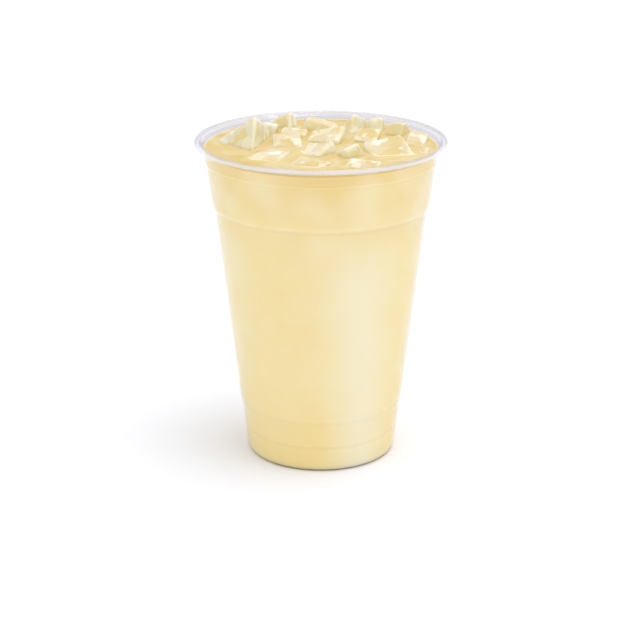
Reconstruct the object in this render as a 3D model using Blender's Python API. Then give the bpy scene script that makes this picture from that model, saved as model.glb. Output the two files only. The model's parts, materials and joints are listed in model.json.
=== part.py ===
"""Clear plastic cup of iced lemonade, filled to just under its rolled rim.

Run it with: blender --background --python part.py

Frame: metres, +Z up. The origin is the centre of the foot ring, on the surface that the cup
stands on, and the cup is turned about the Z axis.
"""

import math

import bmesh
import bpy
from mathutils import Euler, Vector

MM = 0.001

# Cup, outside sizes
RIM_RADIUS = 49.0 * MM
CUP_HEIGHT = 127.5 * MM
WALL = 0.5 * MM
CURL_RADIUS = 1.2 * MM  # outside radius of the rolled rim's tube
CURL_TURN = math.radians(240)  # how far the edge is rolled outwards and down
FLARE_DEPTH = 6.0 * MM  # the wall swings out to the rim over this depth
FLARE_POWER = 2.6  # how late in that depth the swing comes
FLARE_STEPS = 4

# Stacking band: the wall is wider above this ledge
LEDGE_Z = 102.2 * MM
LEDGE_DROP = 1.4 * MM
BAND_FOOT_RADIUS = 42.5 * MM
BAND_TOP_RADIUS = 45.0 * MM
CONE_TOP_RADIUS = 41.5 * MM

# Lower grip: two turned rings below the long cone
STEP_Z = 20.8 * MM
STEP_RISE = 1.3 * MM
CONE_FOOT_RADIUS = 32.4 * MM
STEP_RADIUS = 31.8 * MM
RING_Z = 10.1 * MM
RING_RADIUS = 30.6 * MM
RING_DEPTH = 0.35 * MM
RING_HALF_HEIGHT = 0.9 * MM

# Foot
HEEL_RADIUS = 30.0 * MM
HEEL_HEIGHT = 4.2 * MM
FOOT_OUTER_RADIUS = 27.8 * MM
FOOT_INNER_RADIUS = 24.0 * MM
BASE_RISE = 2.0 * MM  # the middle of the base is pushed up by this much
BASE_SLOPE = 2.2 * MM

# Drink and ice
LEVEL = 124.0 * MM
GAP = 0.3 * MM
ICE_BEVEL = 1.3 * MM

TURN_STEPS = 64
ARC_STEPS = 5
CURL_STEPS = 9
SHARPEST_MITRE = 0.5  # cosine past which a mitred corner isn't drawn out further
SMOOTH_ANGLE = math.radians(35)
WELD = 0.001 * MM

# Each ice chunk is a tapered block: centre, size and turn about x, y and z, with the share of
# its width and height that is left at its -x end. The blocks lie as they do in the cup, with the
# large wedge at the left, the tallest peaks at the back and the broad slab at the right front.
ICE_CHUNKS = (
    # name, centre in mm, size in mm, turn in degrees, taper
    ("ice_left_large", (-31.5, 5.5, 123), (17.5, 22.5, 20), (-27, -2, -14), 0.2),
    ("ice_left_back", (-22, 22.5, 122), (6.5, 10, 15), (-10, 22, -11), 0.8),
    ("ice_back_left", (-15.5, 32.5, 122), (11, 8, 15), (-21, -12, -20), 0.6),
    ("ice_back_low", (-11, 19, 121), (11, 7, 12), (11, 7, -10), 0.9),
    ("ice_back_middle", (-1, 27, 122), (13, 8.5, 13), (-9, 16, -14), 0.9),
    ("ice_back_peak", (12, 24.5, 121.5), (8.5, 9, 18.5), (-25, -15, -42), 0.5),
    ("ice_back_right", (22, 25.5, 122), (6.5, 8, 16), (-14, 1, -11), 0.85),
    ("ice_right_back", (29.5, 19, 122), (7.5, 9, 15.5), (-20, 5, -24), 0.8),
    ("ice_right_large", (26, -8.5, 121), (16.5, 19.5, 11), (19, -1, 22), 0.85),
    ("ice_right_edge", (39.5, -8, 119.5), (4, 9.5, 11), (14, -1, -8), 0.85),
    ("ice_middle_left", (-13.5, 5.5, 121.5), (12, 13, 10.5), (18, 2, 5), 0.9),
    ("ice_front_middle", (-4.5, -28, 120), (13.5, 12, 11), (18, 10, -30), 0.85),
    ("ice_middle", (2.5, 10.5, 122.5), (14, 12, 11), (19, -5, -20), 0.85),
    ("ice_middle_right", (11.5, -14, 121.5), (9, 8, 14), (14, -12, -53), 0.8),
    ("ice_front_left", (-20, -15.5, 120), (13.5, 16, 11), (6, 3, -21), 0.85),
    ("ice_low_right", (18, 11, 122), (9.5, 11, 12), (20, 8, -14), 0.8),
    ("ice_low_left", (-1, -9, 121), (13, 12, 12), (20, -8, -40), 0.85),
    ("ice_low_edge", (36.5, 7.5, 121.5), (8, 13, 11), (16, 14, -11), 0.85),
    ("ice_front_right", (15.5, -29, 120.5), (13, 9, 11), (16, 6, -20), 0.85),
)


def clear_scene():
    for obj in list(bpy.data.objects):
        bpy.data.objects.remove(obj, do_unlink=True)


def make_material(name, colour, roughness, transmission, ior):
    material = bpy.data.materials.new(name)
    material.use_nodes = True
    shader = material.node_tree.nodes["Principled BSDF"]
    shader.inputs["Base Color"].default_value = (*colour, 1.0)
    shader.inputs["Metallic"].default_value = 0.0
    shader.inputs["Roughness"].default_value = roughness
    shader.inputs["Transmission Weight"].default_value = transmission
    shader.inputs["IOR"].default_value = ior
    return material


def arc(centre_r, centre_z, radius, start, end, steps):
    """Points on an arc in the (r, z) plane, from angle start to angle end."""
    points = []
    for i in range(steps + 1):
        angle = start + (end - start) * i / steps
        points.append((centre_r + radius * math.cos(angle), centre_z + radius * math.sin(angle)))
    return points


def heel_points():
    """The quarter-ellipse between the foot ring and the lower grip, on the outside."""
    points = []
    for i in range(1, ARC_STEPS + 1):
        angle = 0.5 * math.pi * i / ARC_STEPS
        reach = (HEEL_RADIUS - FOOT_OUTER_RADIUS) * math.sin(angle)
        rise = HEEL_HEIGHT * (1.0 - math.cos(angle))
        points.append((FOOT_OUTER_RADIUS + reach, rise))
    return points


def flare_points(foot_radius, foot_z, top_radius, top_z, steps):
    """The wall's swing out to the rim: it leaves the band without a corner."""
    points = []
    for i in range(1, steps):
        share = i / steps
        radius = foot_radius + (top_radius - foot_radius) * share**FLARE_POWER
        points.append((radius, foot_z + (top_z - foot_z) * share))
    return points


def cup_outside():
    """The cup's outer face from the middle of the base up to the foot of the flare."""
    ring_slope = (STEP_RADIUS - HEEL_RADIUS) / (STEP_Z - HEEL_HEIGHT)
    above = RING_HALF_HEIGHT * ring_slope
    return [
        (0.0, BASE_RISE),
        (FOOT_INNER_RADIUS - BASE_SLOPE, BASE_RISE),
        (FOOT_INNER_RADIUS, 0.0),
        (FOOT_OUTER_RADIUS, 0.0),
        *heel_points(),
        (RING_RADIUS - above, RING_Z - RING_HALF_HEIGHT),
        (RING_RADIUS - RING_DEPTH, RING_Z),
        (RING_RADIUS + above, RING_Z + RING_HALF_HEIGHT),
        (STEP_RADIUS, STEP_Z),
        (CONE_FOOT_RADIUS, STEP_Z + STEP_RISE),
        (CONE_TOP_RADIUS, LEDGE_Z - LEDGE_DROP),
        (BAND_FOOT_RADIUS, LEDGE_Z),
        (BAND_TOP_RADIUS, CUP_HEIGHT - FLARE_DEPTH),
    ]


def offset_path(points, distance):
    """The path moved sideways by distance, to its left as it runs, with mitred corners."""
    moved = []
    for i, (r, z) in enumerate(points):
        normals = []
        for a, b in ((i - 1, i), (i, i + 1)):
            if a < 0 or b >= len(points):
                continue
            run = Vector((points[b][0] - points[a][0], points[b][1] - points[a][1])).normalized()
            normals.append(Vector((-run.y, run.x)))
        mean = sum(normals, Vector((0.0, 0.0))).normalized()
        stretch = distance / max(mean.dot(normals[0]), SHARPEST_MITRE)
        moved.append((r + mean.x * stretch, z + mean.y * stretch))
    if points[0][0] == 0.0:
        moved[0] = (0.0, moved[0][1])
    return moved


def cup_middle():
    """The middle line of the cup's wall: base, side, flare and the rolled rim."""
    side = offset_path(cup_outside(), 0.5 * WALL)
    tube = CURL_RADIUS - 0.5 * WALL
    curl_z = CUP_HEIGHT - CURL_RADIUS
    curl_r = RIM_RADIUS - CURL_RADIUS
    foot = side[-1]
    flare = flare_points(foot[0], foot[1], curl_r - tube, curl_z, FLARE_STEPS)
    return side + flare + arc(curl_r, curl_z, tube, math.pi, math.pi - CURL_TURN, CURL_STEPS)


def turned_mesh(name, section, steps):
    """A closed (r, z) section turned about Z. Points on the axis become one vertex each."""
    mesh = bpy.data.meshes.new(name)
    shape = bmesh.new()
    vertices = [shape.verts.new((r, 0.0, z)) for r, z in section]
    edges = [shape.edges.new((a, b)) for a, b in zip(vertices, vertices[1:])]
    if section[0][0] > 0.0 or section[-1][0] > 0.0:
        edges.append(shape.edges.new((vertices[-1], vertices[0])))
    bmesh.ops.spin(
        shape,
        geom=vertices + edges,
        cent=(0.0, 0.0, 0.0),
        axis=(0.0, 0.0, 1.0),
        angle=2.0 * math.pi,
        steps=steps,
        use_merge=True,
    )
    bmesh.ops.remove_doubles(shape, verts=shape.verts, dist=WELD)
    bmesh.ops.recalc_face_normals(shape, faces=shape.faces)
    shape.to_mesh(mesh)
    shape.free()
    return mesh


def make_cup(material):
    middle = cup_middle()
    outer = offset_path(middle, -0.5 * WALL)
    inner = offset_path(middle, 0.5 * WALL)
    mesh = turned_mesh("cup", outer + inner[::-1], TURN_STEPS)
    mesh.shade_smooth()
    mesh.set_sharp_from_angle(angle=SMOOTH_ANGLE)
    mesh.materials.append(material)
    cup = bpy.data.objects.new("cup", mesh)
    bpy.context.scene.collection.objects.link(cup)
    return cup


def tapered_block(name, size, taper, grow):
    """A block whose -x end is narrower and lower, with rounded edges, grown by grow all over."""
    half = Vector(size) * 0.5
    mean_share = 0.5 * (1.0 + taper)
    shape = bmesh.new()
    bmesh.ops.create_cube(shape, size=2.0)
    for vertex in shape.verts:
        along = math.copysign(half.x + grow, vertex.co.x)
        corner = [along]
        for axis in (1, 2):
            slope = half[axis] * (1.0 - taper) / (2.0 * half.x)
            reach = half[axis] * mean_share + along * slope + grow * math.hypot(1.0, slope)
            corner.append(math.copysign(reach, vertex.co[axis]))
        vertex.co = corner
    bmesh.ops.bevel(
        shape,
        geom=list(shape.edges),
        offset=ICE_BEVEL,
        offset_type="OFFSET",
        segments=2,
        profile=0.5,
        affect="EDGES",
    )
    bmesh.ops.recalc_face_normals(shape, faces=shape.faces)
    mesh = bpy.data.meshes.new(name)
    shape.to_mesh(mesh)
    shape.free()
    return mesh


def place(obj, centre, turn):
    obj.location = Vector(centre) * MM
    obj.rotation_euler = Euler([math.radians(angle) for angle in turn], "XYZ")
    bpy.context.scene.collection.objects.link(obj)


def make_ice(material):
    for name, centre, size, turn, taper in ICE_CHUNKS:
        mesh = tapered_block(name, [side * MM for side in size], taper, 0.0)
        mesh.shade_smooth()
        mesh.set_sharp_from_angle(angle=SMOOTH_ANGLE)
        mesh.materials.append(material)
        place(bpy.data.objects.new(name, mesh), centre, turn)


def make_pockets():
    """Cutters for the hollows that the ice sits in, each a little larger than its chunk."""
    pockets = bpy.data.collections.new("ice_pockets")
    for name, centre, size, turn, taper in ICE_CHUNKS:
        mesh = tapered_block("pocket", [side * MM for side in size], taper, GAP)
        pocket = bpy.data.objects.new("pocket_" + name, mesh)
        place(pocket, centre, turn)
        pocket.hide_render = True
        pocket.display_type = "WIRE"
        pockets.objects.link(pocket)
    return pockets


def cut_at_level(points):
    """The points below the drink's level, and the point where the path crosses it."""
    kept = []
    for (r, z), (next_r, next_z) in zip(points, points[1:]):
        kept.append((r, z))
        if next_z >= LEVEL:
            share = (LEVEL - z) / (next_z - z)
            kept.append((r + (next_r - r) * share, LEVEL))
            break
    return kept


def make_lemonade(material, pockets):
    """The drink: the cup's inside up to the level, with a pocket round each ice chunk."""
    wall = offset_path(cup_middle(), 0.5 * WALL + GAP)
    section = cut_at_level(wall) + [(0.0, LEVEL)]
    mesh = turned_mesh("lemonade", section, TURN_STEPS)
    mesh.shade_smooth()
    mesh.set_sharp_from_angle(angle=SMOOTH_ANGLE)
    mesh.materials.append(material)
    drink = bpy.data.objects.new("lemonade", mesh)
    bpy.context.scene.collection.objects.link(drink)
    cut = drink.modifiers.new("pockets", "BOOLEAN")
    cut.operation = "DIFFERENCE"
    cut.operand_type = "COLLECTION"
    cut.collection = pockets
    cut.solver = "EXACT"
    return drink


def main():
    clear_scene()
    clear_plastic = make_material("clear_plastic", (0.96, 0.97, 0.98), 0.04, 1.0, 1.50)
    drink = make_material("lemonade", (0.94, 0.83, 0.50), 0.15, 0.25, 1.34)
    ice = make_material("ice", (0.97, 0.95, 0.86), 0.06, 0.9, 1.31)
    make_cup(clear_plastic)
    make_ice(ice)
    make_lemonade(drink, make_pockets())


main()
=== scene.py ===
"""Looks for a clear plastic cup of iced lemonade, and a plain stage for it.

The cup is turned from one line through the middle of its wall. The ice chunks are the blocks of the
solids, worn round by melting. The drink is turned from the cup's line too, and has a pocket round
each chunk. All sizes are in metres.
"""

import json
import math

import bpy
import numpy as np
from bpy.props import FloatProperty, FloatVectorProperty, IntProperty, PointerProperty
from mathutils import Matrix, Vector, noise
from mathutils.bvhtree import BVHTree

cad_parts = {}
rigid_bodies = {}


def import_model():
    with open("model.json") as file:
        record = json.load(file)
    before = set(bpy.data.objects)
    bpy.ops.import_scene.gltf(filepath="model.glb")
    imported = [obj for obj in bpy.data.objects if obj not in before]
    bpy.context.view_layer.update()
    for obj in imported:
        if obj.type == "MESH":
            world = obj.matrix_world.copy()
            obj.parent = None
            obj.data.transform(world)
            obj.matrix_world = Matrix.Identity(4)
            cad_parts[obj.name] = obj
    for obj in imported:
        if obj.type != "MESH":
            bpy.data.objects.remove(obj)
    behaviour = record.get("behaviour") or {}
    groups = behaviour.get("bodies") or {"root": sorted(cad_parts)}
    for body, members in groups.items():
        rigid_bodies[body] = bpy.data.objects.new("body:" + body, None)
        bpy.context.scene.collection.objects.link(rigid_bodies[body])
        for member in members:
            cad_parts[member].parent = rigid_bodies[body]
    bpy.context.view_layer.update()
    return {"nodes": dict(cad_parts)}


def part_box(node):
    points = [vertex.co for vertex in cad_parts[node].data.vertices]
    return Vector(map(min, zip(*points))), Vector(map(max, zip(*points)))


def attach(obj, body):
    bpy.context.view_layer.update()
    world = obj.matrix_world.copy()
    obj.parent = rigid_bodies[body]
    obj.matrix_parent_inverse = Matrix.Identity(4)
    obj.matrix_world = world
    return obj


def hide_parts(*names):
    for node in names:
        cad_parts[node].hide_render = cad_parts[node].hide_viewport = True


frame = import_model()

bl_info = {
    "name": "Cup of iced lemonade",
    "version": (1, 0, 0),
    "blender": (4, 5, 0),
    "location": "View3D > Sidebar > Lemonade",
    "description": "Makes a clear plastic cup of lemonade with ice, and a plain stage for it",
    "category": "Add Mesh",
}

MM = 0.001
BODY = "root"
CUP_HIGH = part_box("cup")[1]
DRINK_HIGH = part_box("lemonade")[1]
ICE_NODES = sorted(name for name in frame["nodes"] if name.startswith("ice_"))

# What the shapes note on their points, for the materials to read
NEAR_ICE = "near_ice"
ICE_EDGE = "ice_edge"
ICE_UP = "ice_up"

# Cup, outside sizes, the same as the solids have
WALL = 0.5 * MM
CURL_RADIUS = 1.2 * MM
CURL_TURN = math.radians(240)
FLARE_DEPTH = 6.0 * MM
FLARE_POWER = 2.6
LEDGE_Z = 102.2 * MM
LEDGE_DROP = 1.4 * MM
BAND_FOOT_RADIUS = 42.5 * MM
BEAD_Z = 119.6 * MM
BAND_TOP_RADIUS = 45.0 * MM
CONE_TOP_RADIUS = 41.5 * MM
STEP_Z = 20.8 * MM
STEP_RISE = 1.3 * MM
CONE_FOOT_RADIUS = 32.4 * MM
STEP_RADIUS = 31.8 * MM
RING_Z = 10.1 * MM
RING_RADIUS = 30.6 * MM
RING_DEPTH = 0.35 * MM
RING_HALF_HEIGHT = 0.9 * MM
HEEL_RADIUS = 30.0 * MM
HEEL_HEIGHT = 4.2 * MM
FOOT_OUTER_RADIUS = 27.8 * MM
FOOT_INNER_RADIUS = 24.0 * MM
BASE_RISE = 2.0 * MM
BASE_SLOPE = 2.2 * MM

# The small bead below the rim: its foot is set in, and its crest stands out
BEAD_SET_IN = 0.35 * MM
BEAD_OUT = 0.1 * MM
BEAD_BELOW = 0.9 * MM
BEAD_ABOVE = 0.5 * MM

# How far each bend of the cup's line reaches from its corner
BASE_BEND = 1.0 * MM
FOOT_BEND = 0.5 * MM
RING_BEND = 0.4 * MM
STEP_BEND = 0.6 * MM
BEAD_BEND = 0.3 * MM
LONGEST_BEND_SHARE = 0.48
LEAST_MITRE = 0.5

# How finely the pieces are made
BEND_STEPS = 4
HEEL_STEPS = 8
FLARE_STEPS = 10
CURL_STEPS = 18
CUP_SPACING = 4 * MM
DRINK_SPACING = 2.5 * MM
SURFACE_SPACING = 1.2 * MM
ICE_SPACING = 0.5 * MM
SAME_POINT = 0.002 * MM
SHARP_ANGLE = math.radians(40)

# How melting wears the ice: broad dents, finer ripples and an even loss, in shares of the wear
DENT_SIZE = 10 * MM
DENT_SHARE = 1.2
RIPPLES_PER_DENT = 3.0
RIPPLE_SHARE = 0.15
LOSS_SHARE = 0.3
SEED_SHIFT = (3.1, 1.7, 2.3)
SMOOTH_FACTOR = 0.5
SMOOTH_ROUNDS = 6

# A point is on an edge where it stands out this far from the points up to EDGE_REACH steps away
EDGE_REACH = 8
EDGE_HEIGHT = 0.35 * MM

# How the drink meets the wall. WALL_CREEP has steps back from the wall and up from the level
WET_WALL_RISE = 0.3 * MM
DRINK_INTO_WALL = 0.15 * MM
CREEP_FOOT = 1.0 * MM
CREEP_OUT = 0.2 * MM
WALL_CREEP = (
    (0.0, 0.5 * MM),
    (0.3 * MM, 0.3 * MM),
    (0.7 * MM, 0.15 * MM),
    (1.3 * MM, 0.05 * MM),
    (2.2 * MM, 0.0),
)

# How the drink meets the ice
DRINK_INTO_ICE = 0.15 * MM
NOTED_DEPTH = 20 * MM
NEAR_REACH = 2.5 * MM
AT_LEVEL = 0.02 * MM
ICE_CREEP = 0.4 * MM
ICE_CREEP_REACH = 1.0 * MM

# The Mix node's colour inputs and output, whose names its other kinds of value share
MIX_COLOURS = (6, 7)
MIX_RESULT = 2
MIDDLE_NOISE = (0.3, 0.7)

# Plastic: the slow flow in it, its glints, and how far in from the rim its curl and its painted
# highlight, a white haze along the lip, begin
FLOW_SIZE = 9 * MM
FLOW_DEPTH = 0.1 * MM
GLINT_ROUGHNESS = (0.05, 0.10)
GLINT_LEAST = 0.04
GLINT_RISE = 0.8
TINT_POWER = 2.0
GLINT_RISE_POWER = 5.0
CURL_FADE = (2.75 * MM, 2.4 * MM)
CURL_TINT = (0.975, 0.97, 0.972)
RIM_GLINT = (0.9, 0.9, 0.93)
RIM_RIPPLE = 0.1
RIM_LETS_THROUGH = (0.96, 0.96, 0.96)
# Painted highlight: the white haze along the lip
LIP_HIGHLIGHT_FADE = (0.4 * MM, 0.05 * MM)
LIP_HIGHLIGHT_SHARE = (0.03, 0.5)
LIP_HIGHLIGHT_COLOUR = (0.95, 0.95, 0.96)
WET_TINT = (0.99, 0.99, 0.985)
WET_EDGE_TINT = (0.90, 0.86, 0.78)
WET_GLINT = (1.0, 1.0, 1.0)
WET_RIPPLE = 0.3

# Drink: the clouds in it, and its golden foot between two heights
CLOUD_SIZE = 22 * MM
CLOUD_SHARE = 0.65
WISP_SIZE = 7 * MM
WISP_SHARE = 0.35
CLOUD_RANGE = (0.38, 0.62)
FOOT_FADE = (40 * MM, 6 * MM)
FOOT_SHARE = 0.75

# The pale streak is a painted highlight in the drink's colour at the right front. It leans, and its
# heights are in shares of the level
HIGHLIGHT_LEAN = math.radians(9)
HIGHLIGHT_LEAN_HEIGHTS = (0.6, 0.1)
HIGHLIGHT_TOP_HEIGHTS = (0.9, 0.65)
HIGHLIGHT_FADE = (math.radians(30), math.radians(5))
HIGHLIGHT_SHARE = 0.75

# Sunk ice near the top, and the gaps in it. Each fade is between two depths below the level
CHUNK_SIZE = 11 * MM
CHUNK_RANGE = (0.3, 0.62)
CHUNK_FADE = (45 * MM, 12 * MM)
CHUNK_SHARE = 0.4
GAPS_ROUND = 6.0
GAP_RANGE = (-0.6, 0.9)
GAP_FADE = (15 * MM, 5 * MM)
GAP_SHARE = 0.45
BRIM_FADE = (5.0 * MM, 0.6 * MM)
BRIM_SHARE = 0.12
TOP_FADE = (0.6 * MM, 0.1 * MM)
SHALLOW_SIZE = 10 * MM
SHALLOW_RANGE = (0.47, 0.62)
SHALLOW_SHARE = 0.65
# Painted light: where the pocket walls round the ice are made pale
LIT_POCKET_RANGE = (0.975, 0.99)

# Light goes less deep into the drink near the top
GLOW_FADE = (40 * MM, 4 * MM)
GLOW_REACH = (8 * MM, 2 * MM)
GLOW_RADIUS = (0.8, 0.75, 0.6)
DRINK_INDEX = 1.34
DRINK_SHINE = 0.15
DRINK_ROUGHNESS = (0.08, 0.16)
DRINK_RIPPLE = 0.3
DRINK_RIPPLE_DEPTH = 0.15 * MM

# Ice: veils and patches inside it, whose white is partly cloudy ice and partly painted highlight,
# its worn edges with a painted highlight, painted shade on faces that look up and painted light on
# steep faces, and the golden line above the drink
VEIL_SIZE = 6 * MM
VEIL_AND_HIGHLIGHT_RANGE = (0.56, 0.70)
PATCH_SIZE = 4.5 * MM
PATCH_SMOOTHNESS = 0.12
PALER_RANGE = (0.35, 0.65)
FROST_AND_HIGHLIGHT_RANGE = (0.72, 0.9)
FROST_AND_HIGHLIGHT_SHARE = 0.6
# Painted highlight: how the ice is made white along its worn edges
EDGE_HIGHLIGHT_RANGE = (0.3, 1.0)
EDGE_HIGHLIGHT_SHARE = 0.75
LIT_STEEP_RANGE = (0.35, 0.85)
LINE_RISE = 1.6 * MM
LINE_SHARE = 0.7
CLEAR_SHARE = (0.24, 0.08)
ICE_INDEX = 1.31
ICE_GLOW_REACH = 0.9 * MM
ICE_GLOW_RADIUS = (0.8, 0.8, 0.7)
ICE_ROUGHNESS = (0.08, 0.14)
ICE_RIPPLE = 0.3
ICE_RIPPLE_DEPTH = 0.05 * MM
ICE_LETS_THROUGH = (0.95, 0.93, 0.85)

# Floor
FLOOR_SIZE = 8.0
FLOOR_GRAIN = 3 * MM
FLOOR_COLOURS = ((0.885, 0.90, 0.955), (0.895, 0.91, 0.965))
FLOOR_ROUGHNESS = 0.8
FLOOR_SHINE = 0.1

# Camera, which stands in front of the cup and looks down on it
CAMERA_BACK = 700.7 * MM
CAMERA_HEIGHT = 298.6 * MM
CAMERA_ASIDE = -0.35 * MM
CAMERA_DOWN = math.radians(19.31)
CAMERA_NEAREST = 10 * MM
LENS_MM = 104.67
SENSOR_MM = 36.0

# Light
SUN_FROM = (0.24, -0.05, 0.97)
SUN_STRENGTH = 0.85
SUN_WIDTH = math.radians(38)
SUN_COLOUR = (1.0, 0.99, 0.975)
GLINT_PLACE = (0.62, -0.37, 0.83)
GLINT_SIZE = (0.12, 0.12)
GLINT_POWER = 0.3
GLINT_COLOUR = (1.0, 1.0, 1.0)
ROOM_COLOUR = (0.99, 0.995, 1.0, 1.0)
ROOM_STRENGTH = 0.97


class CupSettings(bpy.types.PropertyGroup):
    """The cup's size and plastic."""

    rim_radius: FloatProperty(
        name="Rim radius",
        description="Outside radius of the rolled rim",
        default=CUP_HIGH.x,
        unit="LENGTH",
    )
    height: FloatProperty(
        name="Height",
        description="Height from the foot ring to the top of the rim",
        default=CUP_HIGH.z,
        unit="LENGTH",
    )
    turn_steps: IntProperty(
        name="Turn steps",
        description="Facets round the cup",
        default=160,
        min=48,
    )
    # Painted shade: the grey of these tints stands in for darker surroundings seen in the rim and
    # the wall above the drink
    tint: FloatVectorProperty(
        name="Plastic tint",
        description="What the clear wall lets through where it is seen straight on",
        default=(0.80, 0.787, 0.787),
        subtype="COLOR",
    )
    slant_shade_tint: FloatVectorProperty(
        name="Edge tint",
        description="What the clear wall lets through where it is seen at a slant",
        default=(0.855, 0.845, 0.86),
        subtype="COLOR",
    )


class DrinkSettings(bpy.types.PropertyGroup):
    """The lemonade's level and colours."""

    level: FloatProperty(
        name="Level",
        description="Height of the drink's surface",
        default=DRINK_HIGH.z,
        unit="LENGTH",
    )
    pale: FloatVectorProperty(
        name="Pale lemonade",
        description="Where cloudy juice or sunk ice is close behind the wall",
        default=(0.935, 0.792, 0.468),
        subtype="COLOR",
    )
    deep: FloatVectorProperty(
        name="Deep lemonade",
        description="Where the drink is clear and deep",
        default=(0.915, 0.755, 0.392),
        subtype="COLOR",
    )
    surface: FloatVectorProperty(
        name="Surface",
        description="The open surface between the ice chunks, where one looks deep into the drink",
        default=(0.655, 0.48, 0.165),
        subtype="COLOR",
    )
    shallow_ice: FloatVectorProperty(
        name="Shallow ice",
        description="Ice that lies just below the surface",
        default=(0.74, 0.61, 0.37),
        subtype="COLOR",
    )
    near_ice: FloatVectorProperty(
        name="Near ice",
        description="The surface where the ice goes on below it",
        default=(0.73, 0.565, 0.24),
        subtype="COLOR",
    )
    foot: FloatVectorProperty(
        name="Foot",
        description="The drink at the foot, where it is deepest yellow",
        default=(0.96, 0.725, 0.335),
        subtype="COLOR",
    )
    # Painted light: the pocket walls round the ice are made pale to stand in for light reaching
    # them through the ice and the cloudy drink
    pocket: FloatVectorProperty(
        name="Pocket",
        description="The pale layer of drink that lies against the ice",
        default=(1.0, 0.91, 0.68),
        subtype="COLOR",
    )
    sunk_ice: FloatVectorProperty(
        name="Sunk ice",
        description="Ice that is dimly seen through the wall near the top",
        default=(0.935, 0.80, 0.54),
        subtype="COLOR",
    )
    between_ice: FloatVectorProperty(
        name="Between sunk ice",
        description="The drink between the ice that is dimly seen through the wall",
        default=(0.85, 0.66, 0.27),
        subtype="COLOR",
    )
    # Painted highlight: the pale streak at the right front is light painted into the drink's colour
    painted_highlight: FloatVectorProperty(
        name="Pale streak",
        description="Where sunk ice stands close behind the wall at the right front",
        default=(0.955, 0.85, 0.66),
        subtype="COLOR",
    )
    patch_shift: FloatVectorProperty(
        name="Patch shift",
        description="Another shift gives the drink other patches near the top",
        default=(0.041, 0.017, 0.023),
        subtype="TRANSLATION",
        unit="LENGTH",
    )
    painted_highlight_angle: FloatProperty(
        name="Streak angle",
        description="Angle of the pale streak round the cup, from the front to the right",
        default=math.radians(22),
        subtype="ANGLE",
    )


class IceSettings(bpy.types.PropertyGroup):
    """How worn and how cloudy the ice is."""

    wear: FloatProperty(
        name="Wear",
        description="How far melting has moved the faces in or out",
        default=0.55 * MM,
        unit="LENGTH",
    )
    seed: IntProperty(
        name="Seed",
        description="Another number gives the ice other dents",
        default=4,
    )
    # Painted light and shade: faces that look up get a deeper gold and steep faces a lighter
    # colour, for how light and the drink show through each face
    tint: FloatVectorProperty(
        name="Ice tint",
        description="Clear ice seen from above, through which the drink shines",
        default=(0.845, 0.68, 0.34),
        subtype="COLOR",
    )
    grey: FloatVectorProperty(
        name="Pale ice",
        description="Ice seen from above where less of the drink shines through",
        default=(0.885, 0.765, 0.53),
        subtype="COLOR",
    )
    lit_steep_tint: FloatVectorProperty(
        name="Steep ice tint",
        description="Clear ice on the steep faces",
        default=(1.0, 0.80, 0.46),
        subtype="COLOR",
    )
    lit_steep_grey: FloatVectorProperty(
        name="Steep pale ice",
        description="Pale ice on the steep faces",
        default=(1.0, 0.905, 0.73),
        subtype="COLOR",
    )
    line: FloatVectorProperty(
        name="Waterline",
        description="Golden line where the ice meets the drink and bends its colour into view",
        default=(0.93, 0.70, 0.32),
        subtype="COLOR",
    )
    # Partly painted highlight: this white stands for cloudy ice and also for glints
    cloud_and_highlight: FloatVectorProperty(
        name="Cloudy ice",
        description="Colour of the white clouds inside the ice",
        default=(1.0, 0.94, 0.82),
        subtype="COLOR",
    )


def deselect_all():
    for obj in bpy.context.view_layer.objects:
        obj.select_set(False)
    bpy.context.view_layer.objects.active = None


def make_active(obj):
    deselect_all()
    obj.select_set(True)
    bpy.context.view_layer.objects.active = obj


def apply_modifier(obj, kind, name, **values):
    """Add one modifier, set its values and apply it."""
    make_active(obj)
    modifier = obj.modifiers.new(name, kind)
    for key, value in values.items():
        setattr(modifier, key, value)
    bpy.ops.object.modifier_apply(modifier=modifier.name)


def bake_place(obj):
    """Put an object's place into its mesh, so that the object sits at the origin."""
    make_active(obj)
    bpy.ops.object.transform_apply(location=True, rotation=True, scale=True)


def own_copy(source, name):
    """A copy of an object with its own mesh, without its parent and the notes on it."""
    obj = source.copy()
    obj.data = obj.data.copy()
    obj.name = name
    for key in list(obj.keys()):
        del obj[key]
    obj.parent = None
    bpy.context.scene.collection.objects.link(obj)
    return obj


def finish_piece(obj, material, slot, *nodes):
    """Give a piece its material and say what it replaces and what it rides on."""
    obj.data.materials.clear()
    obj.data.materials.append(material)
    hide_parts(*nodes)
    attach(obj, BODY)


def arc(centre_r, centre_z, radius, start, end, steps):
    """Points on an arc in the (r, z) plane, from angle start to angle end."""
    points = []
    for i in range(steps + 1):
        angle = start + (end - start) * i / steps
        points.append((centre_r + radius * math.cos(angle), centre_z + radius * math.sin(angle)))
    return points


def soften(corners):
    """Round each corner (r, z, reach) of a path by a curve that starts reach away from it."""
    points = []
    for i, (r, z, reach) in enumerate(corners):
        if reach == 0.0 or i in (0, len(corners) - 1):
            points.append((r, z))
            continue
        corner = Vector((r, z))
        back = Vector(corners[i - 1][:2]) - corner
        on = Vector(corners[i + 1][:2]) - corner
        start = corner + back.normalized() * min(reach, LONGEST_BEND_SHARE * back.length)
        end = corner + on.normalized() * min(reach, LONGEST_BEND_SHARE * on.length)
        for step in range(BEND_STEPS + 1):
            t = step / BEND_STEPS
            point = start * (1 - t) ** 2 + corner * 2 * t * (1 - t) + end * t**2
            points.append((point.x, point.y))
    return points


def fill_in(points, spacing):
    """The same path with more points on its long straight stretches."""
    filled = [points[0]]
    for (r0, z0), (r1, z1) in zip(points, points[1:]):
        count = max(1, math.ceil(math.hypot(r1 - r0, z1 - z0) / spacing))
        for i in range(1, count + 1):
            filled.append((r0 + (r1 - r0) * i / count, z0 + (z1 - z0) * i / count))
    return filled


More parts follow.
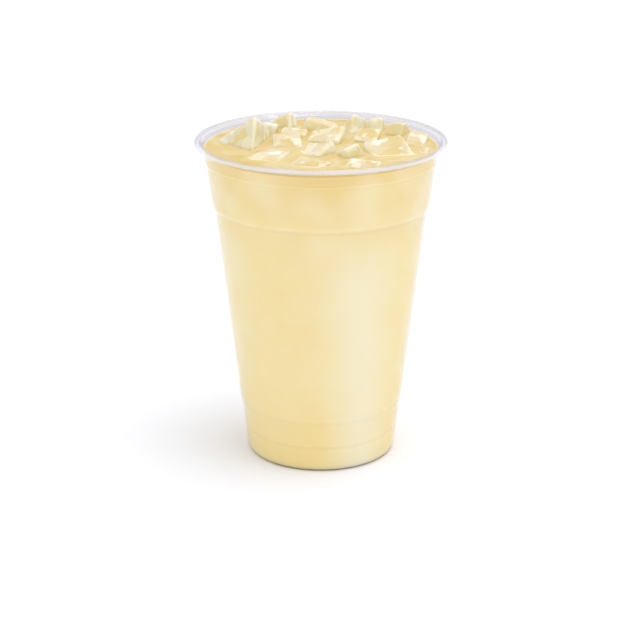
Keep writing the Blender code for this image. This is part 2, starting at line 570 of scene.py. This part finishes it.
def offset_path(points, distance):
    """The path moved sideways by distance, to its left as it runs, with mitred corners."""
    moved = []
    for i, (r, z) in enumerate(points):
        normals = []
        for a, b in ((i - 1, i), (i, i + 1)):
            if a < 0 or b >= len(points):
                continue
            run = Vector((points[b][0] - points[a][0], points[b][1] - points[a][1])).normalized()
            normals.append(Vector((-run.y, run.x)))
        mean = sum(normals, Vector((0.0, 0.0))).normalized()
        stretch = distance / max(mean.dot(normals[0]), LEAST_MITRE)
        moved.append((r + mean.x * stretch, z + mean.y * stretch))
    if points[0][0] == 0.0:
        moved[0] = (0.0, moved[0][1])
    return moved


def heel_points():
    """The rounded heel, a quarter of an ellipse from the foot ring up to the side."""
    points = []
    for i in range(1, HEEL_STEPS + 1):
        angle = 0.5 * math.pi * i / HEEL_STEPS
        reach = (HEEL_RADIUS - FOOT_OUTER_RADIUS) * math.sin(angle)
        points.append((FOOT_OUTER_RADIUS + reach, HEEL_HEIGHT * (1.0 - math.cos(angle)), 0.0))
    return points


def cup_middle(cup):
    """The line through the middle of the cup's wall, from the axis to the end of the rim's curl."""
    ring_slope = (STEP_RADIUS - HEEL_RADIUS) / (STEP_Z - HEEL_HEIGHT)
    above = RING_HALF_HEIGHT * ring_slope
    outside = soften([
        (0.0, BASE_RISE, 0.0),
        (FOOT_INNER_RADIUS - BASE_SLOPE, BASE_RISE, BASE_BEND),
        (FOOT_INNER_RADIUS, 0.0, FOOT_BEND),
        (FOOT_OUTER_RADIUS, 0.0, 0.0),
        *heel_points(),
        (RING_RADIUS - above, RING_Z - RING_HALF_HEIGHT, RING_BEND),
        (RING_RADIUS - RING_DEPTH, RING_Z, RING_BEND),
        (RING_RADIUS + above, RING_Z + RING_HALF_HEIGHT, RING_BEND),
        (STEP_RADIUS, STEP_Z, STEP_BEND),
        (CONE_FOOT_RADIUS, STEP_Z + STEP_RISE, STEP_BEND),
        (CONE_TOP_RADIUS, LEDGE_Z - LEDGE_DROP, STEP_BEND),
        (BAND_FOOT_RADIUS, LEDGE_Z, STEP_BEND),
        (BAND_TOP_RADIUS - BEAD_SET_IN, BEAD_Z - BEAD_BELOW, BEAD_BEND),
        (BAND_TOP_RADIUS + BEAD_OUT, BEAD_Z, BEAD_BEND),
        (BAND_TOP_RADIUS - BEAD_OUT, BEAD_Z + BEAD_ABOVE, BEAD_BEND),
        (BAND_TOP_RADIUS, cup.height - FLARE_DEPTH, 0.0),
    ])
    side = offset_path(outside, 0.5 * WALL)
    tube = CURL_RADIUS - 0.5 * WALL
    curl_z = cup.height - CURL_RADIUS
    curl_r = cup.rim_radius - CURL_RADIUS
    foot_r, foot_z = side[-1]
    flare = []
    for i in range(1, FLARE_STEPS):
        share = i / FLARE_STEPS
        radius = foot_r + (curl_r - tube - foot_r) * share**FLARE_POWER
        flare.append((radius, foot_z + (curl_z - foot_z) * share))
    return side + flare + arc(curl_r, curl_z, tube, math.pi, math.pi - CURL_TURN, CURL_STEPS)


def drink_section(cup, drink):
    """The drink's line, which follows the wall a little way into it, and then its surface."""
    line = fill_in(cup_middle(cup), DRINK_SPACING)
    wall = offset_path(line, 0.5 * WALL - DRINK_INTO_WALL)
    section = [point for point in wall if point[1] < drink.level - CREEP_FOOT]
    rim_r = section[-1][0] + CREEP_OUT
    for back, rise in WALL_CREEP:
        section.append((rim_r - back, drink.level + rise))
    last = section.pop()
    return section + fill_in([last, (0.0, drink.level)], SURFACE_SPACING)


def turn_path(name, points, steps):
    """Draw the path point by point from one vertex, and spin it about the Z axis."""
    deselect_all()
    bpy.ops.mesh.primitive_plane_add(size=1 * MM, location=(0, 0, 0))
    obj = bpy.context.view_layer.objects.active
    obj.name = name
    obj.data.name = name
    bpy.ops.object.mode_set(mode="EDIT")
    bpy.ops.mesh.select_all(action="SELECT")
    bpy.ops.mesh.merge(type="CENTER")
    r, z = points[0]
    bpy.ops.transform.translate(value=(r, 0, z))
    for next_r, next_z in points[1:]:
        step = (next_r - r, 0, next_z - z)
        bpy.ops.mesh.extrude_region_move(TRANSFORM_OT_translate={"value": step})
        r, z = next_r, next_z
    bpy.ops.mesh.select_all(action="SELECT")
    bpy.ops.mesh.spin(
        steps=steps, angle=2 * math.pi, center=(0, 0, 0), axis=(0, 0, 1), use_auto_merge=True
    )
    bpy.ops.mesh.select_all(action="SELECT")
    bpy.ops.mesh.remove_doubles(threshold=SAME_POINT)
    bpy.ops.mesh.normals_make_consistent(inside=False)
    bpy.ops.object.mode_set(mode="OBJECT")
    return obj


class LEMONADE_OT_cup(bpy.types.Operator):
    """Turn the clear cup, with its rolled rim, ledge, rings and foot"""

    bl_idname = "lemonade.cup"
    bl_label = "Clear cup"

    def execute(self, context):
        cup = context.scene.lemonade_cup
        obj = turn_path("clear_cup", fill_in(cup_middle(cup), CUP_SPACING), cup.turn_steps)
        apply_modifier(obj, "SOLIDIFY", "wall", thickness=WALL, offset=0.0, use_even_offset=True)
        bake_place(obj)
        bpy.ops.object.shade_smooth()
        finish_piece(obj, rim_material(cup), "clear_plastic", "cup")
        obj.data.materials.append(wall_material())
        wet_top = context.scene.lemonade_drink.level + WET_WALL_RISE
        for face in obj.data.polygons:
            face.material_index = 1 if face.center.z < wet_top else 0
        return {"FINISHED"}


class LEMONADE_OT_ice(bpy.types.Operator):
    """Wear down a block for each chunk of ice that shows"""

    bl_idname = "lemonade.ice"
    bl_label = "Ice chunks"

    def execute(self, context):
        ice = context.scene.lemonade_ice
        material = ice_material(ice)
        for number, node in enumerate(ICE_NODES):
            obj = own_copy(frame["nodes"][node], "worn_" + node)
            make_active(obj)
            bpy.ops.object.mode_set(mode="EDIT")
            bpy.ops.mesh.select_all(action="SELECT")
            bpy.ops.mesh.remove_doubles(threshold=SAME_POINT)
            bpy.ops.object.mode_set(mode="OBJECT")
            apply_modifier(obj, "REMESH", "even", mode="VOXEL", voxel_size=ICE_SPACING)
            wear_down(obj, ice.wear, ice.seed + number)
            note_edges(obj)
            bpy.ops.object.shade_smooth()
            finish_piece(obj, material, "ice", node)
        return {"FINISHED"}


def wear_down(obj, depth, seed):
    """Dent and swell the faces as melting does, with a few broad scoops and finer ripples."""
    shift = Vector([seed * value for value in SEED_SHIFT])
    normals = [v.normal.copy() for v in obj.data.vertices]
    for vertex, normal in zip(obj.data.vertices, normals):
        place = vertex.co / DENT_SIZE + shift
        dents = DENT_SHARE * noise.noise(place)
        ripples = RIPPLE_SHARE * noise.noise(place * RIPPLES_PER_DENT)
        vertex.co += normal * depth * (dents + ripples - LOSS_SHARE)
    apply_modifier(obj, "SMOOTH", "melt", factor=SMOOTH_FACTOR, iterations=SMOOTH_ROUNDS)


def note_edges(obj):
    """Note how far each point stands out from the points near it, and how far it faces up."""
    count = len(obj.data.vertices)
    place = np.empty(count * 3)
    obj.data.vertices.foreach_get("co", place)
    normals = np.empty(count * 3)
    obj.data.vertices.foreach_get("normal", normals)
    ends = np.empty(len(obj.data.edges) * 2, dtype=int)
    obj.data.edges.foreach_get("vertices", ends)
    place, normals, ends = place.reshape(-1, 3), normals.reshape(-1, 3), ends.reshape(-1, 2)
    neighbours = np.bincount(ends.ravel(), minlength=count).reshape(-1, 1)
    mean = place.copy()
    for _ in range(EDGE_REACH):
        total = np.zeros_like(mean)
        np.add.at(total, ends[:, 0], mean[ends[:, 1]])
        np.add.at(total, ends[:, 1], mean[ends[:, 0]])
        mean = total / neighbours
    stand_out = ((place - mean) * normals).sum(axis=1) / EDGE_HEIGHT
    edge = obj.data.attributes.new(ICE_EDGE, "FLOAT", "POINT")
    edge.data.foreach_set("value", np.clip(stand_out, 0.0, 1.0))
    up = obj.data.attributes.new(ICE_UP, "FLOAT", "POINT")
    up.data.foreach_set("value", np.clip(normals[:, 2], 0.0, 1.0))


class LEMONADE_OT_drink(bpy.types.Operator):
    """Fill the cup with lemonade, with a pocket round each chunk of ice"""

    bl_idname = "lemonade.drink"
    bl_label = "Lemonade"

    def execute(self, context):
        cup = context.scene.lemonade_cup
        drink = context.scene.lemonade_drink
        obj = turn_path("lemonade_fill", drink_section(cup, drink), cup.turn_steps)
        cutters = []
        for node in ICE_NODES:
            cutter = own_copy(bpy.data.objects["worn_" + node], "pocket_" + node)
            apply_modifier(cutter, "DISPLACE", "inset", strength=-DRINK_INTO_ICE, mid_level=0.0)
            cutters.append(cutter)
        deselect_all()
        for cutter in cutters:
            cutter.select_set(True)
        context.view_layer.objects.active = cutters[0]
        bpy.ops.object.join()
        cutter = context.view_layer.objects.active
        apply_modifier(
            obj, "BOOLEAN", "pockets", operation="DIFFERENCE", object=cutter, solver="MANIFOLD"
        )
        wet_the_ice(obj, cutter, drink.level)
        bpy.data.objects.remove(cutter, do_unlink=True)
        bake_place(obj)
        bpy.ops.object.shade_smooth_by_angle(angle=SHARP_ANGLE)
        finish_piece(obj, lemonade_material(drink), "lemonade", "lemonade")
        return {"FINISHED"}


def wet_the_ice(obj, ice, level):
    """Note how near each point of the surface is to the ice, and draw the surface up against it."""
    tree = BVHTree.FromPolygons(
        [vertex.co for vertex in ice.data.vertices],
        [tuple(face.vertices) for face in ice.data.polygons],
    )
    near = obj.data.attributes.new(NEAR_ICE, "FLOAT", "POINT")
    for vertex in obj.data.vertices:
        if vertex.co.z < level - NOTED_DEPTH:
            continue
        distance = tree.find_nearest(vertex.co)[3]
        near.data[vertex.index].value = math.exp(-((distance / NEAR_REACH) ** 2))
        if abs(vertex.co.z - level) < AT_LEVEL:
            vertex.co.z += ICE_CREEP * math.exp(-distance / ICE_CREEP_REACH)


class Nodes:
    """A material's node tree, with short ways to add and link nodes."""

    def __init__(self, name):
        self.material = bpy.data.materials.new(name)
        self.material.use_nodes = True
        self.tree = self.material.node_tree
        self.tree.nodes.clear()
        self.output = self.add("ShaderNodeOutputMaterial")
        self.place = self.add("ShaderNodeTexCoord").outputs["Object"]

    def add(self, kind, **values):
        node = self.tree.nodes.new(kind)
        for key, value in values.items():
            setattr(node, key, value)
        return node

    def link(self, source, target):
        self.tree.links.new(source, target)

    def noise(self, size, detail, place=None):
        node = self.add("ShaderNodeTexNoise")
        node.inputs["Scale"].default_value = 1.0 / size
        node.inputs["Detail"].default_value = detail
        self.link(place or self.place, node.inputs["Vector"])
        return node.outputs["Fac"]

    def cells(self, size, smoothness, place=None):
        """Soft cells, of which the outputs give the distance from the middle and a colour."""
        node = self.add("ShaderNodeTexVoronoi", feature="SMOOTH_F1")
        node.inputs["Scale"].default_value = 1.0 / size
        node.inputs["Smoothness"].default_value = smoothness
        self.link(place or self.place, node.inputs["Vector"])
        return node.outputs

    def attribute(self, name):
        return self.add("ShaderNodeAttribute", attribute_name=name).outputs["Fac"]

    def between(self, value, low, high, out_low=0.0, out_high=1.0):
        """Out_low to out_high as the value goes from low to high, and no further."""
        node = self.add("ShaderNodeMapRange")
        node.inputs["From Min"].default_value = low
        node.inputs["From Max"].default_value = high
        node.inputs["To Min"].default_value = out_low
        node.inputs["To Max"].default_value = out_high
        self.link(value, node.inputs["Value"])
        return node.outputs["Result"]

    def blend(self, share, first, second):
        """The first colour turning into the second as share goes from 0 to 1."""
        node = self.add("ShaderNodeMix", data_type="RGBA")
        self.link(share, node.inputs["Factor"])
        for index, colour in zip(MIX_COLOURS, (first, second)):
            if isinstance(colour, bpy.types.NodeSocket):
                self.link(colour, node.inputs[index])
            else:
                node.inputs[index].default_value = (*colour, 1.0)
        return node.outputs[MIX_RESULT]

    def maths(self, operation, *values):
        node = self.add("ShaderNodeMath", operation=operation)
        for socket, value in zip(node.inputs, values):
            if isinstance(value, bpy.types.NodeSocket):
                self.link(value, socket)
            else:
                socket.default_value = value
        return node.outputs[0]

    def bump(self, height, distance, strength):
        node = self.add("ShaderNodeBump")
        node.inputs["Distance"].default_value = distance
        node.inputs["Strength"].default_value = strength
        self.link(height, node.inputs["Height"])
        return node.outputs["Normal"]

    def mix(self, share, first, second):
        """The first shader turning into the second as share goes from 0 to 1."""
        node = self.add("ShaderNodeMixShader")
        self.link(share, node.inputs["Fac"])
        self.link(first, node.inputs[1])
        self.link(second, node.inputs[2])
        return node.outputs[0]

    def finish(self, shader):
        self.link(shader, self.output.inputs["Surface"])
        return self.material

    def let_lamps_through(self, shader, tint):
        """Let lamps shine through the clear surface, which solid glass would block."""
        ray = self.add("ShaderNodeLightPath")
        clear = self.add("ShaderNodeBsdfTransparent")
        clear.inputs["Color"].default_value = (*tint, 1.0)
        return self.mix(ray.outputs["Is Shadow Ray"], shader, clear.outputs[0])


def film(made, straight, slanted, glint_tint, ripple):
    """Thin clear plastic, which tints what stands behind it more where it is seen at a slant."""
    flow = made.noise(FLOW_SIZE, 2.0)
    bumps = made.bump(flow, FLOW_DEPTH, ripple)
    slant = made.add("ShaderNodeLayerWeight")
    slant.inputs["Blend"].default_value = 0.5
    made.link(bumps, slant.inputs["Normal"])
    facing = slant.outputs["Facing"]
    clear = made.add("ShaderNodeBsdfTransparent")
    tint = made.blend(made.maths("POWER", facing, TINT_POWER), straight, slanted)
    made.link(tint, clear.inputs["Color"])
    glint = made.add("ShaderNodeBsdfGlossy")
    glint.inputs["Color"].default_value = (*glint_tint, 1.0)
    made.link(made.between(flow, *MIDDLE_NOISE, *GLINT_ROUGHNESS), glint.inputs["Roughness"])
    made.link(bumps, glint.inputs["Normal"])
    rise = made.maths("POWER", facing, GLINT_RISE_POWER)
    shine = made.maths("MULTIPLY_ADD", rise, GLINT_RISE, GLINT_LEAST)
    return made.mix(shine, clear.outputs[0], glint.outputs[0])


def rim_material(cup):
    """Clear plastic of the rim and the wall above the drink, with a painted highlight, a white
    haze, along the outside of the curl, and grey tints that are painted shade.
    """
    made = Nodes("clear_plastic_rim")
    flat = made.add("ShaderNodeVectorMath", operation="MULTIPLY")
    flat.inputs[1].default_value = (1.0, 1.0, 0.0)
    made.link(made.place, flat.inputs[0])
    length = made.add("ShaderNodeVectorMath", operation="LENGTH")
    made.link(flat.outputs[0], length.inputs[0])
    radius = length.outputs["Value"]
    curl = made.between(radius, *(cup.rim_radius - inset for inset in CURL_FADE))
    # Painted shade: the grey tints of the rim and the wall above the drink
    straight = made.blend(curl, cup.tint, CURL_TINT)
    thin = film(made, straight, cup.slant_shade_tint, RIM_GLINT, RIM_RIPPLE)
    # Painted highlight: a white diffuse haze along the outside of the curl makes the bright line on
    # the lip
    lip_highlight = made.between(radius, *(cup.rim_radius - inset for inset in LIP_HIGHLIGHT_FADE), *LIP_HIGHLIGHT_SHARE)
    white = made.add("ShaderNodeBsdfDiffuse")
    white.inputs["Color"].default_value = (*LIP_HIGHLIGHT_COLOUR, 1.0)
    with_lip_highlight = made.mix(lip_highlight, thin, white.outputs[0])
    return made.finish(made.let_lamps_through(with_lip_highlight, RIM_LETS_THROUGH))


def wall_material():
    """The same plastic where the drink stands behind it."""
    made = Nodes("clear_plastic_wall")
    return made.finish(film(made, WET_TINT, WET_EDGE_TINT, WET_GLINT, WET_RIPPLE))


def drink_side(made, drink, angle, height, wisps):
    """The drink's colour as it is seen through the wall, with a painted highlight streak at the
    right front and painted light on the pocket walls round the ice.
    """

    def by_depth(fade, share):
        return made.between(height, *(drink.level - depth for depth in fade), 0.0, share)

    clouds = made.maths("MULTIPLY", made.noise(CLOUD_SIZE, 2.0), CLOUD_SHARE)
    cloudy = made.maths("MULTIPLY_ADD", wisps, WISP_SHARE, clouds)
    colour = made.blend(made.between(cloudy, *CLOUD_RANGE), drink.deep, drink.pale)
    colour = made.blend(made.between(height, *FOOT_FADE, 0.0, FOOT_SHARE), colour, drink.foot)

    # Painted highlight: a pale leaning streak at the right front
    lean_heights = (share * drink.level for share in HIGHLIGHT_LEAN_HEIGHTS)
    lean = made.between(height, *lean_heights, 0.0, HIGHLIGHT_LEAN)
    middle = made.maths("ADD", lean, drink.painted_highlight_angle)
    aside = made.maths("ABSOLUTE", made.maths("SUBTRACT", angle, middle))
    painted_highlight = made.between(aside, *HIGHLIGHT_FADE, 0.0, HIGHLIGHT_SHARE)
    painted_highlight_top = made.between(height, *(share * drink.level for share in HIGHLIGHT_TOP_HEIGHTS))
    colour = made.blend(made.maths("MULTIPLY", painted_highlight, painted_highlight_top), colour, drink.painted_highlight)

    shifted = made.add("ShaderNodeVectorMath", operation="ADD")
    made.link(made.place, shifted.inputs[0])
    shifted.inputs[1].default_value = drink.patch_shift
    cells = made.cells(CHUNK_SIZE, 1.0, shifted.outputs[0])
    apart = made.between(cells["Distance"], *CHUNK_RANGE)
    chunks = made.blend(apart, drink.sunk_ice, drink.between_ice)
    colour = made.blend(by_depth(CHUNK_FADE, CHUNK_SHARE), colour, chunks)

    turns = made.maths("COSINE", made.maths("MULTIPLY", angle, GAPS_ROUND))
    gaps = made.maths("MULTIPLY", made.between(turns, *GAP_RANGE), by_depth(GAP_FADE, GAP_SHARE))
    colour = made.blend(gaps, colour, drink.between_ice)
    colour = made.blend(by_depth(BRIM_FADE, BRIM_SHARE), colour, drink.surface)

    below = made.noise(SHALLOW_SIZE, 1.0, shifted.outputs[0])
    shallow = made.between(below, *SHALLOW_RANGE, 0.0, SHALLOW_SHARE)
    surface = made.blend(shallow, drink.surface, drink.shallow_ice)
    near = made.attribute(NEAR_ICE)
    surface = made.blend(near, surface, drink.near_ice)
    colour = made.blend(by_depth(TOP_FADE, 1.0), colour, surface)
    # Painted light: pale pocket walls round the ice
    return made.blend(made.between(near, *LIT_POCKET_RANGE), colour, drink.pocket)


def lemonade_material(drink):
    """Cloudy pale yellow juice, paler or deeper where sunk ice is near, and golden at the foot,
    with a painted highlight streak at the right front and painted light on the pocket walls round
    the ice.
    """
    made = Nodes("lemonade")
    shader = made.add("ShaderNodeBsdfPrincipled")
    axes = made.add("ShaderNodeSeparateXYZ")
    made.link(made.place, axes.inputs[0])
    height = axes.outputs["Z"]
    front = made.maths("MULTIPLY", axes.outputs["Y"], -1.0)
    angle = made.maths("ARCTAN2", axes.outputs["X"], front)
    wisps = made.noise(WISP_SIZE, 3.0)
    made.link(drink_side(made, drink, angle, height, wisps), shader.inputs["Base Color"])
    depths = (drink.level - depth for depth in GLOW_FADE)
    made.link(made.between(height, *depths, *GLOW_REACH), shader.inputs["Subsurface Scale"])
    shader.inputs["Subsurface Weight"].default_value = 1.0
    shader.inputs["Subsurface Radius"].default_value = GLOW_RADIUS
    shader.inputs["IOR"].default_value = DRINK_INDEX
    shader.inputs["Specular IOR Level"].default_value = DRINK_SHINE
    made.link(made.between(wisps, *MIDDLE_NOISE, *DRINK_ROUGHNESS), shader.inputs["Roughness"])
    made.link(made.bump(wisps, DRINK_RIPPLE_DEPTH, DRINK_RIPPLE), shader.inputs["Normal"])
    return made.finish(shader.outputs[0])


def ice_material(ice):
    """Wet ice, golden where the drink shines through it, paler in patches, white at its edges as a
    painted highlight and in veils that are partly cloudy ice and partly painted highlight, with
    painted shade on faces that look up and painted light on steep faces.
    """
    made = Nodes("ice")
    shader = made.add("ShaderNodeBsdfPrincipled")
    shader.inputs["IOR"].default_value = ICE_INDEX
    shader.inputs["Subsurface Weight"].default_value = 1.0
    shader.inputs["Subsurface Radius"].default_value = ICE_GLOW_RADIUS
    shader.inputs["Subsurface Scale"].default_value = ICE_GLOW_REACH
    veils = made.noise(VEIL_SIZE, 1.0)
    parts = made.add("ShaderNodeSeparateColor")
    made.link(made.cells(PATCH_SIZE, PATCH_SMOOTHNESS)["Color"], parts.inputs[0])
    paler = made.between(parts.outputs["Red"], *PALER_RANGE)
    # Partly painted highlight: white veils and patches stand for cloudy ice and also for glints
    frost_and_highlight = made.between(parts.outputs["Green"], *FROST_AND_HIGHLIGHT_RANGE, 0.0, FROST_AND_HIGHLIGHT_SHARE)
    # Painted highlight: white along the worn edges of the ice
    edge = made.between(made.attribute(ICE_EDGE), *EDGE_HIGHLIGHT_RANGE, 0.0, EDGE_HIGHLIGHT_SHARE)
    white = made.maths("MAXIMUM", made.between(veils, *VEIL_AND_HIGHLIGHT_RANGE), edge)
    white = made.maths("MAXIMUM", white, frost_and_highlight)
    axes = made.add("ShaderNodeSeparateXYZ")
    made.link(made.place, axes.inputs[0])
    line_top = DRINK_HIGH.z + LINE_RISE
    line = made.between(axes.outputs["Z"], line_top, DRINK_HIGH.z, 0.0, LINE_SHARE)
    # Painted shade on faces that look up and painted light on steep faces
    flat = made.blend(paler, ice.tint, ice.grey)
    steep = made.blend(paler, ice.lit_steep_tint, ice.lit_steep_grey)
    colour = made.blend(made.between(made.attribute(ICE_UP), *LIT_STEEP_RANGE), steep, flat)
    colour = made.blend(line, colour, ice.line)
    colour = made.blend(white, colour, ice.cloud_and_highlight)
    made.link(colour, shader.inputs["Base Color"])
    made.link(made.between(white, 0.0, 1.0, *CLEAR_SHARE), shader.inputs["Transmission Weight"])
    made.link(made.between(veils, *MIDDLE_NOISE, *ICE_ROUGHNESS), shader.inputs["Roughness"])
    made.link(made.bump(veils, ICE_RIPPLE_DEPTH, ICE_RIPPLE), shader.inputs["Normal"])
    return made.finish(made.let_lamps_through(shader.outputs[0], ICE_LETS_THROUGH))


def floor_material():
    """Pale floor with a faint grain."""
    made = Nodes("pale_floor")
    shader = made.add("ShaderNodeBsdfPrincipled")
    grain = made.noise(FLOOR_GRAIN, 2.0)
    made.link(made.blend(grain, *FLOOR_COLOURS), shader.inputs["Base Color"])
    shader.inputs["Roughness"].default_value = FLOOR_ROUGHNESS
    shader.inputs["Specular IOR Level"].default_value = FLOOR_SHINE
    return made.finish(shader.outputs[0])


def add_soft_sun():
    """A broad soft light high up at the right, which throws the short shadow to the left."""
    deselect_all()
    bpy.ops.object.light_add(type="SUN", location=Vector(SUN_FROM).normalized())
    lamp = bpy.context.view_layer.objects.active
    lamp.name = "soft_key"
    lamp.data.energy = SUN_STRENGTH
    lamp.data.angle = SUN_WIDTH
    lamp.data.color = SUN_COLOUR
    lamp.rotation_euler = Vector(SUN_FROM).to_track_quat("Z", "Y").to_euler()


def add_glint_box():
    """A small bright panel at the right, aimed at the rim, which makes the wet glints."""
    deselect_all()
    bpy.ops.object.light_add(type="AREA", location=GLINT_PLACE)
    lamp = bpy.context.view_layer.objects.active
    lamp.name = "glint_box"
    lamp.data.shape = "RECTANGLE"
    lamp.data.size, lamp.data.size_y = GLINT_SIZE
    lamp.data.energy = GLINT_POWER
    lamp.data.color = GLINT_COLOUR
    aim = Vector((0, 0, CUP_HIGH.z)) - Vector(GLINT_PLACE)
    lamp.rotation_euler = aim.to_track_quat("-Z", "Y").to_euler()


class LEMONADE_OT_stage(bpy.types.Operator):
    """Lay the pale floor and set the soft lights and the camera"""

    bl_idname = "lemonade.stage"
    bl_label = "Stage"

    def execute(self, context):
        deselect_all()
        bpy.ops.mesh.primitive_plane_add(size=FLOOR_SIZE, location=(0, 0, 0))
        floor = context.view_layer.objects.active
        floor.name = "pale_floor"
        floor.data.materials.append(floor_material())
        add_soft_sun()
        add_glint_box()
        world = bpy.data.worlds.new("soft_white_room")
        world.use_nodes = True
        background = world.node_tree.nodes["Background"]
        background.inputs["Color"].default_value = ROOM_COLOUR
        background.inputs["Strength"].default_value = ROOM_STRENGTH
        context.scene.world = world
        context.scene.view_settings.view_transform = "Standard"
        bpy.ops.object.camera_add(
            location=(CAMERA_ASIDE, -CAMERA_BACK, CAMERA_HEIGHT),
            rotation=(0.5 * math.pi - CAMERA_DOWN, 0, 0),
        )
        camera = context.view_layer.objects.active
        camera.data.lens = LENS_MM
        camera.data.sensor_width = SENSOR_MM
        camera.data.clip_start = CAMERA_NEAREST
        context.scene.camera = camera
        return {"FINISHED"}


class LEMONADE_PT_panel(bpy.types.Panel):
    """Buttons and sizes for the cup of lemonade"""

    bl_label = "Lemonade"
    bl_idname = "LEMONADE_PT_panel"
    bl_space_type = "VIEW_3D"
    bl_region_type = "UI"
    bl_category = "Lemonade"

    def draw(self, context):
        layout = self.layout
        for settings in (
            context.scene.lemonade_cup,
            context.scene.lemonade_drink,
            context.scene.lemonade_ice,
        ):
            for name in settings.__annotations__:
                layout.prop(settings, name)
        for operator in OPERATORS:
            layout.operator(operator.bl_idname)


SETTINGS = (CupSettings, DrinkSettings, IceSettings)
OPERATORS = (LEMONADE_OT_stage, LEMONADE_OT_cup, LEMONADE_OT_ice, LEMONADE_OT_drink)


def register():
    for item in (*SETTINGS, *OPERATORS, LEMONADE_PT_panel):
        bpy.utils.register_class(item)
    bpy.types.Scene.lemonade_cup = PointerProperty(type=CupSettings)
    bpy.types.Scene.lemonade_drink = PointerProperty(type=DrinkSettings)
    bpy.types.Scene.lemonade_ice = PointerProperty(type=IceSettings)


def unregister():
    del bpy.types.Scene.lemonade_ice
    del bpy.types.Scene.lemonade_drink
    del bpy.types.Scene.lemonade_cup
    for item in (LEMONADE_PT_panel, *reversed(OPERATORS), *reversed(SETTINGS)):
        bpy.utils.unregister_class(item)


def main():
    register()
    bpy.ops.lemonade.stage()
    bpy.ops.lemonade.cup()
    bpy.ops.lemonade.ice()
    bpy.ops.lemonade.drink()


if __name__ == "__main__":
    main()
